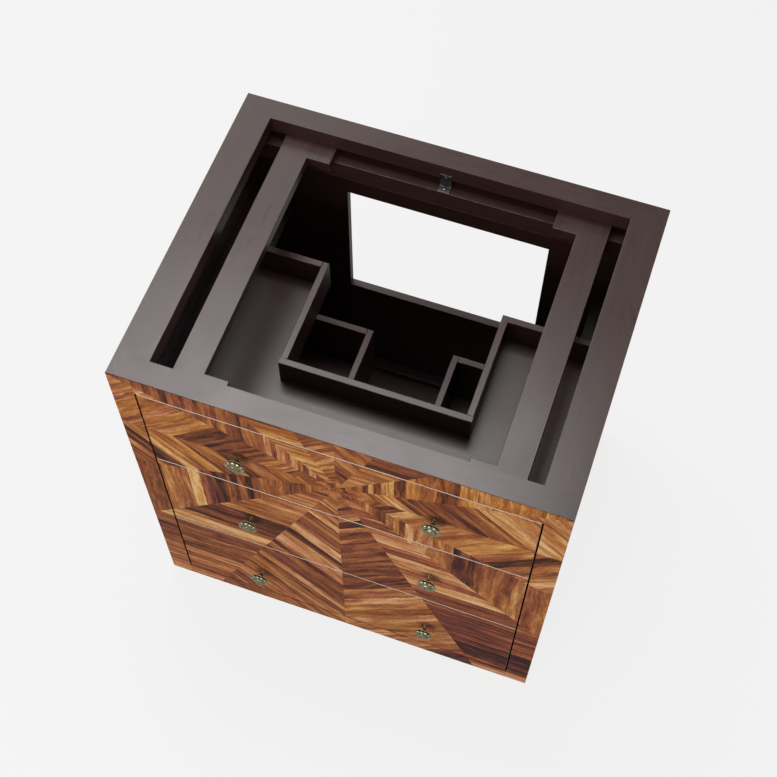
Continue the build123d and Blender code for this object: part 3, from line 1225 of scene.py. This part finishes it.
@dataclass
class Screws:
    """A group of screw heads that stand for a CAD node, or are added to a piece.

    Attributes:
        name: the piece's name.
        body: the body it moves with.
        spots: (seat, direction that the head faces) for each screw.
        radius: the heads' radius.
        height: their height.
        nodes: the CAD nodes that they stand for.
    """

    name: str
    body: str
    spots: Sequence[tuple[Vector, Vector]]
    radius: float = 4.0 * MM
    height: float = 2.3 * MM
    nodes: tuple[str, ...] = ()

    def build(self, tree: bpy.types.NodeTree, paints: Paints) -> bpy.types.Object:
        """Seats the heads and hands them over.

        Args:
            tree: the geometry nodes that seat the heads.
            paints: the materials.

        Returns:
            The heads, as one piece.
        """
        mesh = bpy.data.meshes.new(self.name)
        mesh.from_pydata([spot for spot, _ in self.spots], [], [])
        store(mesh, "facing", "POINT", [facing for _, facing in self.spots])
        head = new_piece(f"{self.name}_head", screw_head(self.radius, self.height))
        piece = new_piece(self.name, mesh)
        run_tree(piece, tree, {"Head": head, "Seed": seed_of(self.name) % 1000,
                               "Finish": paints.made[STEEL.name]})
        bpy.data.objects.remove(head)
        finish_piece(piece, self.body, self.nodes)
        return piece


# The knob's outline from foot to crown: shares of the radius, of the projection and of the relief.
KNOB_OUTLINE = (
    (0.222, 0.0, 0.0), (0.215, 0.06, 0.0), (0.20, 0.16, 0.0), (0.19, 0.28, 0.0), (0.20, 0.38, 0.0),
    (0.26, 0.45, 0.0), (0.38, 0.51, 0.0), (0.56, 0.56, 0.0), (0.72, 0.59, 0.0),
    (0.79, 0.603, 0.0), (0.825, 0.62, 0.0), (0.83, 0.638, 0.0), (0.815, 0.66, 0.0), (0.78, 0.68, 0.0),
    (0.73, 0.695, 0.0), (0.66, 0.704, 0.0), (0.55, 0.707, 0.0), (0.55, 0.745, 0.0),
    (0.70, 0.755, 0.0), (0.87, 0.768, 0.3), (0.96, 0.785, 0.7), (1.0, 0.803, 1.0), (1.0, 0.820, 1.0),
    (0.98, 0.842, 1.0), (0.92, 0.865, 1.0), (0.84, 0.885, 0.9), (0.76, 0.898, 0.7), (0.69, 0.900, 0.4),
    (0.64, 0.885, 0.1), (0.60, 0.880, 0.0), (0.575, 0.888, 0.0), (0.565, 0.920, 0.0),
    (0.54, 0.950, 0.0), (0.48, 0.975, 0.0), (0.38, 0.99, 0.0), (0.20, 0.998, 0.0))


def wave(count: int, angle: float) -> float:
    """A wave round an axis, from 0 on each crest to 1 in each hollow."""
    return 0.5 - 0.5 * math.cos(count * angle)


@dataclass
class Knob:
    """A turned and chased brass knob: stem, flared neck, plain disc, groove and a petalled head.

    Attributes:
        radius: the head's radius.
        projection: the drawer front to the crown.
        petals: how many petals the head has.
        scallop: how deep the rim dips between two petals, as a share of the radius.
        dish: how far the face sinks between two petals.
        turn: the number of steps round the axis.
        petals_from: where the petals start, as shares of the projection and the radius.
        disc_span: where the plain disc starts and ends, as shares of the projection.
        disc_rim: where its rim starts, as a share of the radius.
        stem_end: where the stem ends, as a share of the projection.
        crown_from: where the crown starts, as a share of the projection.
        stem_highlight_lines: how many lines along the stem are painted bright as highlight lines.
    """

    radius: float
    projection: float
    petals: int = 11
    scallop: float = 0.05
    dish: float = 0.9 * MM
    turn: int = 88
    petals_from: Point = (0.81, 0.66)
    disc_span: Point = (0.59, 0.70)
    disc_rim: float = 0.7
    stem_end: float = 0.4
    crown_from: float = 0.93
    stem_highlight_lines: int = 5

    def rub_and_highlight(self, spot: Vector) -> float:
        """How bright a point is: rubbed on the petals' crests and the crown, painted bright all round the
        disc's rim as a highlight arc, and painted in lines along the stem as highlight lines.

        Args:
            spot: the point, from the knob's foot.

        Returns:
            The rubbing and painted highlight, from 0 to 1.
        """
        out = -spot.y / self.projection
        reach = math.hypot(spot.x, spot.z) / self.radius
        angle = math.atan2(spot.z, spot.x)
        if out > self.petals_from[0] and reach > self.petals_from[1]:
            return 1.0 - wave(self.petals, angle)
        # the rim of the plain disc, painted bright all round as a highlight arc
        if self.disc_span[0] < out < self.disc_span[1] and reach > self.disc_rim:
            return 1.0
        # lines along the stem, painted bright as highlight lines
        if out < self.stem_end:
            return wave(self.stem_highlight_lines, angle)
        return 0.25 if out > self.crown_from else 0.0

    def add_to(self, work: bmesh.types.BMesh, foot: Vector) -> None:
        """Adds one knob to a mesh.

        Args:
            work: the mesh.
            foot: the middle of its foot, on the drawer front.
        """
        rings = []
        for radius_share, out_share, relief in KNOB_OUTLINE:
            ring = []
            for i in range(self.turn):
                angle = math.tau * i / self.turn
                dip = relief * wave(self.petals, angle)
                reach = radius_share * self.radius * (1 - self.scallop * dip)
                out = out_share * self.projection - self.dish * dip
                ring.append(work.verts.new((foot.x + reach * math.cos(angle), foot.y - out,
                                            foot.z + reach * math.sin(angle))))
            rings.append(ring)
        for lower, upper in zip(rings, rings[1:]):
            bridge(work, lower, upper)
        work.faces.new(rings[0])
        tip = work.verts.new((foot.x, foot.y - self.projection, foot.z))
        for i in range(self.turn):
            work.faces.new((rings[-1][i], rings[-1][(i + 1) % self.turn], tip))


# ---------------------------------------------------------------- sub-assemblies


@dataclass
class FaceFrame:
    """Stiles and rails, lacquered on their edges and laid with leaves on the front.

    Attributes:
        star: the front's star.
        body: the body it belongs to.
        ease: how far the boards' arrises are rounded.
        top_line: the lacquered line above the leaves.
        low_line: the line above the leaves of the bottom rail.
    """

    star: Star
    body: str = "cabinet"
    ease: float = 0.5 * MM
    top_line: float = 1.3 * MM
    low_line: float = 0.2 * MM

    def build(self, tree: bpy.types.NodeTree, paints: Paints) -> None:
        """Builds the four boards and their leaves.

        Args:
            tree: the geometry nodes that make the leaves.
            paints: the materials.
        """
        joints = {"stile_left": (Axis.Z, (Face.BACK, Face.LEFT)),
                  "stile_right": (Axis.Z, (Face.BACK, Face.RIGHT)),
                  "face_rail_top": (Axis.X, (Face.BACK, Face.LEFT, Face.RIGHT)),
                  "face_rail_bottom": (Axis.X, (Face.BACK, Face.LEFT, Face.RIGHT))}
        for node, (grain, flush) in joints.items():
            laid = (Face.FRONT, flush[1]) if grain is Axis.Z else (Face.FRONT,)
            Board(node, self.body, grain, LACQUER, (*flush, Face.TOP), self.ease, laid).place(paints)
            line = self.low_line if node == "face_rail_bottom" else self.top_line
            Panel(node, self.body, Face.FRONT, self.star, line, 0.0).build(tree, paints)


@dataclass
class Sides:
    """The two side panels, each laid with a star of its own that runs on over the stile's edge.

    Attributes:
        centre_height: the height of both stars' centres, the same as the front's.
        body: the body they belong to.
        ease: how far the boards' arrises are rounded.
        top_line: the lacquered line above the leaves.
        seeds: what fixes the left and the right star.
    """

    centre_height: float
    body: str = "cabinet"
    ease: float = 0.5 * MM
    top_line: float = 1.3 * MM
    seeds: tuple[int, int] = (41, 57)

    def build(self, tree: bpy.types.NodeTree, paints: Paints) -> None:
        """Builds both panels and their leaves.

        Args:
            tree: the geometry nodes that make the leaves.
            paints: the materials.
        """
        for face, seed in zip((Face.LEFT, Face.RIGHT), self.seeds):
            word = face.name.lower()
            node, stile = f"side_panel_{word}", f"stile_{word}"
            _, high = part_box(node)
            stile_low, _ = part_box(stile)
            flip = -1 if face is Face.LEFT else 1
            star = Star((flip * (stile_low.y + high.y) / 2, self.centre_height), seed)
            Board(node, self.body, Axis.Z, LACQUER, (Face.FRONT, Face.BACK, Face.TOP), self.ease,
                  (face,)).place(paints)
            Panel(node, self.body, face, star, self.top_line, 0.0).build(tree, paints)
            # the edge of the stile's front leaves shows beside these, so they start behind it
            Panel(stile, self.body, face, star, self.top_line, 0.0, LEAF).build(tree, paints)


@dataclass
class Carcass:
    """Back, bottom, cleat, spacers, the open top frame and the rails under it.

    Attributes:
        body: the body it belongs to.
        ease: how far the boards' arrises are rounded.
    """

    body: str = "cabinet"
    ease: float = 0.9 * MM

    def build(self, paints: Paints) -> None:
        """Builds every board of the carcass.

        Args:
            paints: the materials.
        """
        across = (Face.LEFT, Face.RIGHT)
        along = (Face.FRONT, Face.BACK)
        boards = {"top_frame_left": (Axis.Y, LACQUER, (*along, Face.LEFT)),
                  "top_frame_right": (Axis.Y, LACQUER, (*along, Face.RIGHT)),
                  "top_frame_front": (Axis.X, LACQUER, (*across, *along)),
                  "top_frame_back": (Axis.X, LACQUER, (*across, *along)),
                  "c_rail_left": (Axis.Y, LACQUER, along),
                  "c_rail_right": (Axis.Y, LACQUER, along),
                  "back_top_rail": (Axis.X, HIGHLIGHTED_RAIL, (*across, Face.BACK)),
                  "back_panel": (Axis.X, BACK, (*across, Face.TOP)),
                  "bottom_panel": (Axis.X, INTERIOR, (*across, *along)),
                  "back_cleat": (Axis.X, INTERIOR, (*across, Face.BACK, Face.UNDER)),
                  "slide_spacers_left": (Axis.Y, INTERIOR, (Face.LEFT, *along)),
                  "slide_spacers_right": (Axis.Y, INTERIOR, (Face.RIGHT, *along))}
        for node, (grain, finish, flush) in boards.items():
            Board(node, self.body, grain, finish, flush, self.ease).place(paints)


@dataclass
class Bracket:
    """The bent steel strip at the back of the top frame, with its two screws.

    Attributes:
        body: the body it belongs to.
        sheet: the strip's thickness.
        foot: how far its foot reaches forward.
        ease: how far its arrises are rounded.
    """

    body: str = "cabinet"
    sheet: float = 2.0 * MM
    foot: float = 15.0 * MM
    ease: float = 0.5 * MM

    def build(self, tree: bpy.types.NodeTree, paints: Paints) -> None:
        """Builds the strip and seats its screws.

        Args:
            tree: the geometry nodes that seat the screw heads.
            paints: the materials.
        """
        Board("angle_bracket", self.body, Axis.Z, STEEL, (), self.ease).place(paints)
        low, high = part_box("angle_bracket")
        stretcher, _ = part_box("top_frame_back")
        middle = (low.x + high.x) / 2
        upper = Vector((middle, high.y - self.sheet, (stretcher.z + high.z) / 2))
        lower = Vector((middle, high.y - self.foot / 2, low.z + self.sheet))
        Screws("bracket_screw_heads", self.body, [(upper, Vector((0, -1, 0))), (lower, Vector((0, 0, 1)))],
               nodes=("bracket_screws",)).build(tree, paints)


@dataclass
class Drawer:
    """One drawer: its veneered front, its box, knobs, screws and slides.

    Attributes:
        body: the body's name, which starts the name of every node on it.
        star: the front's star.
        cut_out: whether the box is cut out for the waste pipe.
        ease: how far the box's arrises are rounded.
        front_ease: how far the front's arrises are rounded.
        front_highlight_lines: the line above the front's leaves, and the one round their other edges,
            where the core shows with its arrises painted pale as a highlight.
        rail_screws: how many screws hold each fixed rail.
        first_screw: the first screw's distance from the rail's end.
        screw_level: the screws' height, as a share of the rail's.
        rail_sheet: the rails' thickness.
        rail_head: the radius and height of the rails' screw heads.
    """

    body: str
    star: Star
    cut_out: bool
    ease: float = 1.0 * MM
    front_ease: float = 1.3 * MM
    front_highlight_lines: tuple[float, float] = (1.4 * MM, 0.4 * MM)
    rail_screws: int = 5
    first_screw: float = 48 * MM
    screw_level: float = 0.62
    rail_sheet: float = 1.5 * MM
    rail_head: tuple[float, float] = (3.4 * MM, 1.4 * MM)

    def node(self, part: str) -> str:
        """The full name of one of the drawer's nodes."""
        return f"{self.body}_{part}"

    def build_front(self, tree: bpy.types.NodeTree, paints: Paints) -> None:
        """The drawer front: a lacquered board with leaves on its face.

        Args:
            tree: the geometry nodes that make the leaves.
            paints: the materials.
        """
        node = self.node("front")
        # the core's eased arrises are painted pale along their whole length: a painted highlight line
        # round the leaves
        Board(node, self.body, Axis.X, HIGHLIGHTED_FRONT_CORE, (Face.BACK,), self.front_ease,
              (Face.FRONT,)).place(paints)
        Panel(node, self.body, Face.FRONT, self.star, *self.front_highlight_lines).build(tree, paints)

    def build_box(self, paints: Paints) -> None:
        """The box: front, sides, back, floor, and the walls round the cutout.

        Args:
            paints: the materials.
        """
        ends = (Face.LEFT, Face.RIGHT)
        boards = {"box_front": (Axis.X, (*ends, Face.FRONT)),
                  "side_left": (Axis.Y, (Face.FRONT, Face.BACK)),
                  "side_right": (Axis.Y, (Face.FRONT, Face.BACK)),
                  "back": (Axis.X, (*ends, Face.UNDER)),
                  "floor": (Axis.X, (*ends, Face.FRONT, Face.BACK))}
        if self.cut_out:
            boards["cutout_front"] = (Axis.X, (*ends, Face.UNDER))
            boards["cutout_left"] = (Axis.Y, (Face.FRONT, Face.UNDER))
            boards["cutout_right"] = (Axis.Y, (Face.FRONT, Face.UNDER))
        for part, (grain, flush) in boards.items():
            Board(self.node(part), self.body, grain, INTERIOR, flush, self.ease).place(paints)

    def build_knobs(self, paints: Paints) -> None:
        """The two knobs, as one piece that stands for the CAD knobs.

        Args:
            paints: the materials.
        """
        node = self.node("knobs")
        low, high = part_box(node)
        radius = (high.z - low.z) / 2
        knob = Knob(radius, high.y - low.y)
        feet = [Vector((x, high.y, low.z + radius)) for x in (low.x + radius, high.x - radius)]
        work = bmesh.new()
        for foot in feet:
            knob.add_to(work, foot)
        bmesh.ops.recalc_face_normals(work, faces=work.faces)
        mesh = mesh_of(work, node)
        mesh.shade_smooth()
        centres = [face.center for face in mesh.polygons]
        # the edge attribute carries the rubbing and the painted highlights of the disc's rim and the stem
        store(mesh, "edge", "FACE", [knob.rub_and_highlight(spot - feet[int(spot.x > 0)]) for spot in centres])
        piece = new_piece(f"{self.body}_brass_knobs", mesh)
        paints.dress(piece, BRASS)
        finish_piece(piece, self.body, [node])

    def build_screws(self, tree: bpy.types.NodeTree, paints: Paints) -> None:
        """The screw heads inside the box front: one behind each knob and one in each corner.

        Args:
            tree: the geometry nodes that seat the screw heads.
            paints: the materials.
        """
        low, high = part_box(self.node("screws"))
        knobs_low, knobs_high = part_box(self.node("knobs"))
        _, box_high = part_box(self.node("box_front"))
        radius = (knobs_high.z - knobs_low.z) / 2
        head, seat = Screws.radius, box_high.y
        spots = [Vector((x, seat, (knobs_low.z + knobs_high.z) / 2))
                 for x in (knobs_low.x + radius, knobs_high.x - radius)]
        spots += [Vector((x, seat, z)) for x in (low.x + head, high.x - head)
                  for z in (low.z + head, high.z - head)]
        Screws(self.node("screw_heads"), self.body, [(spot, Vector((0, 1, 0))) for spot in spots],
               nodes=(self.node("screws"),)).build(tree, paints)

    def build_slides(self, tree: bpy.types.NodeTree, paints: Paints) -> None:
        """Steel on the slide members, and the screws that hold the fixed rails.

        Args:
            tree: the geometry nodes that seat the screw heads.
            paints: the materials.
        """
        for part in ("slide_rails", "carriages", "runners"):
            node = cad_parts[self.node(part)]
            node.data.materials.clear()
            node.data.materials.append(paints.made[SLIDES.name])
        low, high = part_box(self.node("slide_rails"))
        pitch = (high.y - low.y - 2 * self.first_screw) / (self.rail_screws - 1)
        height = low.z + self.screw_level * (high.z - low.z)
        spots = [(Vector((x, low.y + self.first_screw + i * pitch, height)), Vector((inward, 0, 0)))
                 for x, inward in ((low.x + self.rail_sheet, 1.0), (high.x - self.rail_sheet, -1.0))
                 for i in range(self.rail_screws)]
        Screws(self.node("rail_screw_heads"), "cabinet", spots, *self.rail_head).build(tree, paints)

    def build(self, leaves: bpy.types.NodeTree, screws: bpy.types.NodeTree, paints: Paints) -> None:
        """Builds the whole drawer.

        Args:
            leaves: the geometry nodes that make the leaves.
            screws: the geometry nodes that seat the screw heads.
            paints: the materials.
        """
        self.build_front(leaves, paints)
        self.build_box(paints)
        self.build_knobs(paints)
        self.build_screws(screws, paints)
        self.build_slides(screws, paints)


# ---------------------------------------------------------------- studio


@dataclass
class Studio:
    """Pale floor, soft lights and the camera.

    Attributes:
        azimuth: the camera's turn to the right of the front, in degrees.
        elevation: its height above level, in degrees.
        roll: its turn about its own axis, in degrees.
        eye: where it stands, from the middle of the footprint.
        lens: its focal length, in millimetres.
        sensor: its sensor's width, in millimetres.
        daylight: the strength of the even light from all round.
        floor_size: the floor's width.
        floor_tone: the floor's own brightness under the lights.
        floor_glow: how bright it looks straight on.
        floor_bounce: how bright it is in reflections.
    """

    azimuth: float = 18.927
    elevation: float = 61.419
    roll: float = 0.376
    eye: tuple[float, float, float] = (0.3823, -1.1410, 2.7164)
    lens: float = 64.27
    sensor: float = 36.0
    daylight: float = 0.42
    floor_size: float = 40.0
    floor_tone: float = 0.08
    floor_glow: float = 0.82
    floor_bounce: float = 0.22

    def build_floor(self) -> None:
        """A wide pale floor, evenly bright to the eye and dimmer in reflections."""
        bpy.ops.mesh.primitive_plane_add(size=self.floor_size)
        floor = bpy.context.object
        floor.name = "floor"
        material, kit, shader = blank_material("floor_paper")
        shader.inputs["Base Color"].default_value = opaque((self.floor_tone,) * 3)
        shader.inputs["Roughness"].default_value = 0.9
        shader.inputs["Specular IOR Level"].default_value = 0.0
        shader.inputs["Emission Color"].default_value = (1.0, 1.0, 1.0, 1.0)
        seen = kit.add("ShaderNodeLightPath").outputs["Is Camera Ray"]
        glow = kit.math("MULTIPLY_ADD", seen, self.floor_glow - self.floor_bounce, self.floor_bounce)
        kit.tree.links.new(glow, shader.inputs["Emission Strength"])
        floor.data.materials.append(material)

    @staticmethod
    def softbox(name: str, place: tuple, aim: tuple, size: tuple, power: float) -> None:
        """A softbox. One that hangs straight above its aim already faces down.

        Args:
            name: the light's name.
            place: where it hangs.
            aim: the point that it faces.
            size: its width and its depth.
            power: its strength in watts.
        """
        data = bpy.data.lights.new(name, "AREA")
        data.shape = "RECTANGLE"
        data.size, data.size_y = size
        data.energy = power
        light = bpy.data.objects.new(name, data)
        light.location = place
        if place[:2] != aim[:2]:
            light.rotation_euler = (Vector(aim) - Vector(place)).to_track_quat("-Z", "Y").to_euler()
        bpy.context.scene.collection.objects.link(light)

    def build_lights(self) -> None:
        """Even daylight, a softbox overhead and one to the back left, a fill and a strip in front."""
        world = bpy.data.worlds.new("daylight")
        world.use_nodes = True
        background = world.node_tree.nodes["Background"]
        background.inputs[0].default_value = (1.0, 1.0, 1.0, 1.0)
        background.inputs[1].default_value = self.daylight
        bpy.context.scene.world = world
        self.softbox("overhead", place=(-0.5, 0.52, 2.8), aim=(-0.5, 0.52, 0.0), size=(1.5, 0.9),
                     power=38.0)
        self.softbox("back_left", place=(-1.3, 1.9, 2.6), aim=(-0.2, 0.0, 0.8), size=(1.2, 1.2),
                     power=9.0)
        self.softbox("front_fill", place=(-0.4, -3.4, 1.6), aim=(0.0, -0.3, 0.4), size=(1.8, 1.8),
                     power=62.0)
        self.softbox("front_strip", place=(-0.3, -2.6, 2.3), aim=(0.0, -0.3, 0.5), size=(3.0, 0.25),
                     power=5.0)

    def build_camera(self) -> None:
        """The camera, at its measured place and turn."""
        a, e, r = (math.radians(v) for v in (self.azimuth, self.elevation, self.roll))
        back = Vector((math.sin(a) * math.cos(e), -math.cos(a) * math.cos(e), math.sin(e)))
        right = Vector((math.cos(a), math.sin(a), 0.0))
        up = back.cross(right)
        right, up = right * math.cos(r) + up * math.sin(r), up * math.cos(r) - right * math.sin(r)
        data = bpy.data.cameras.new("camera")
        data.lens = self.lens
        data.sensor_width = self.sensor
        camera = bpy.data.objects.new("camera", data)
        matrix = camera.matrix_world.copy()
        for column, direction in enumerate((right, up, back, self.eye)):
            for row in range(3):
                matrix[row][column] = direction[row]
        camera.matrix_world = matrix
        bpy.context.scene.collection.objects.link(camera)
        bpy.context.scene.camera = camera

    def build(self) -> None:
        """Builds the studio."""
        self.build_floor()
        self.build_lights()
        self.build_camera()
        bpy.context.scene.view_settings.view_transform = "Standard"


# ---------------------------------------------------------------- the front's star

STAR_DROP = 162 * MM  # from the top of the face down to the star's centre

# Leaves of the front given one by one: (side, sector, from, to, tone), in metres from the centre.
FRONT_MATCH = (
    (RIGHT, 0, 0.095, 0.118, DARK), (RIGHT, 0, 0.130, 0.250, 0.36), (RIGHT, 0, 0.265, 0.330, DEEP),
    (RIGHT, 0, 0.385, 0.405, LIGHT), (RIGHT, 0, 0.430, 0.600, 0.62),
    (RIGHT, 1, 0.150, 0.165, PALE), (RIGHT, 1, 0.166, 0.200, 0.50), (RIGHT, 1, 0.200, 0.265, PALE),
    (RIGHT, 1, 0.280, 0.322, 0.80), (RIGHT, 1, 0.323, 0.362, 0.44), (RIGHT, 1, 0.375, 0.500, 0.33),
    (RIGHT, 1, 0.500, 0.590, 0.07),
    (RIGHT, 2, 0.212, 0.258, 0.20), (RIGHT, 2, 0.262, 0.330, 0.52), (RIGHT, 2, 0.336, 0.390, 0.50),
    (RIGHT, 3, 0.190, 0.240, LIGHT), (RIGHT, 3, 0.262, 0.292, 0.06), (RIGHT, 3, 0.300, 0.330, LIGHT),
    (RIGHT, 4, 0.070, 0.095, 0.60), (RIGHT, 4, 0.100, 0.235, 0.34), (RIGHT, 4, 0.240, 0.275, PALE),
    (RIGHT, 4, 0.276, 0.400, LIGHT), (RIGHT, 5, 0.180, 0.205, DARK), (RIGHT, 5, 0.206, 0.420, 0.58),
    (RIGHT, 6, 0.020, 0.115, LIGHT), (RIGHT, 6, 0.120, 0.180, DEEP),
    (LEFT, 0, 0.120, 0.140, LIGHT), (LEFT, 0, 0.215, 0.240, PALE), (LEFT, 0, 0.243, 0.262, DARK),
    (LEFT, 0, 0.268, 0.300, PALE), (LEFT, 0, 0.305, 0.385, DEEP), (LEFT, 0, 0.386, 0.408, LIGHT),
    (LEFT, 0, 0.412, 0.450, 0.40), (LEFT, 0, 0.451, 0.480, LIGHT), (LEFT, 0, 0.481, 0.620, 0.48),
    (LEFT, 1, 0.130, 0.155, LIGHT), (LEFT, 1, 0.228, 0.242, PALE), (LEFT, 1, 0.244, 0.322, 0.14),
    (LEFT, 1, 0.324, 0.368, PALE), (LEFT, 1, 0.370, 0.505, 0.38), (LEFT, 1, 0.506, 0.640, 0.55),
    (LEFT, 2, 0.196, 0.216, PALE), (LEFT, 2, 0.217, 0.258, 0.25), (LEFT, 2, 0.260, 0.280, PALE),
    (LEFT, 2, 0.281, 0.334, 0.52), (LEFT, 2, 0.336, 0.390, 0.42),
    (LEFT, 3, 0.200, 0.245, 0.66), (LEFT, 3, 0.246, 0.272, LIGHT), (LEFT, 3, 0.273, 0.310, DARK),
    (LEFT, 4, 0.120, 0.210, 0.24), (LEFT, 4, 0.215, 0.420, 0.60), (LEFT, 5, 0.120, 0.430, 0.40),
    (LEFT, 6, 0.020, 0.130, 0.66),
)

# How the sectors of the front lean, from 0 golden to 1 rosy.
FRONT_HUES = {(RIGHT, 0): 0.52, (RIGHT, 1): 0.88, (RIGHT, 2): 0.38, (RIGHT, 3): 0.36, (RIGHT, 4): 0.40,
              (RIGHT, 5): 0.05, (LEFT, 0): 0.58, (LEFT, 1): 0.55, (LEFT, 2): 0.32, (LEFT, 3): 0.24,
              (LEFT, 4): 0.34, (LEFT, 5): 0.55, (LEFT, 6): 0.20}


def main() -> None:
    """Builds the cabinet in order, then the studio."""
    logging.basicConfig(level=logging.INFO, format="%(name)s: %(message)s")
    paints = Paints((LACQUER, HIGHLIGHTED_RAIL, BACK, INTERIOR, HIGHLIGHTED_FRONT_CORE, VENEER, BRASS, STEEL, SLIDES))
    leaves, screws = leaf_tree(), screw_tree()
    _, frame_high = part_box("stile_left")
    centre_height = frame_high.z - STAR_DROP
    front = Star((0.0, centre_height), seed=7, matched=FRONT_MATCH, hues=FRONT_HUES)
    FaceFrame(front).build(leaves, paints)
    Sides(centre_height).build(leaves, paints)
    Carcass().build(paints)
    Bracket().build(screws, paints)
    for body, cut_out in (("drawer_top", True), ("drawer_middle", True), ("drawer_bottom", False)):
        Drawer(body, front, cut_out).build(leaves, screws, paints)
    Studio().build()


if __name__ == "__main__":
    main()
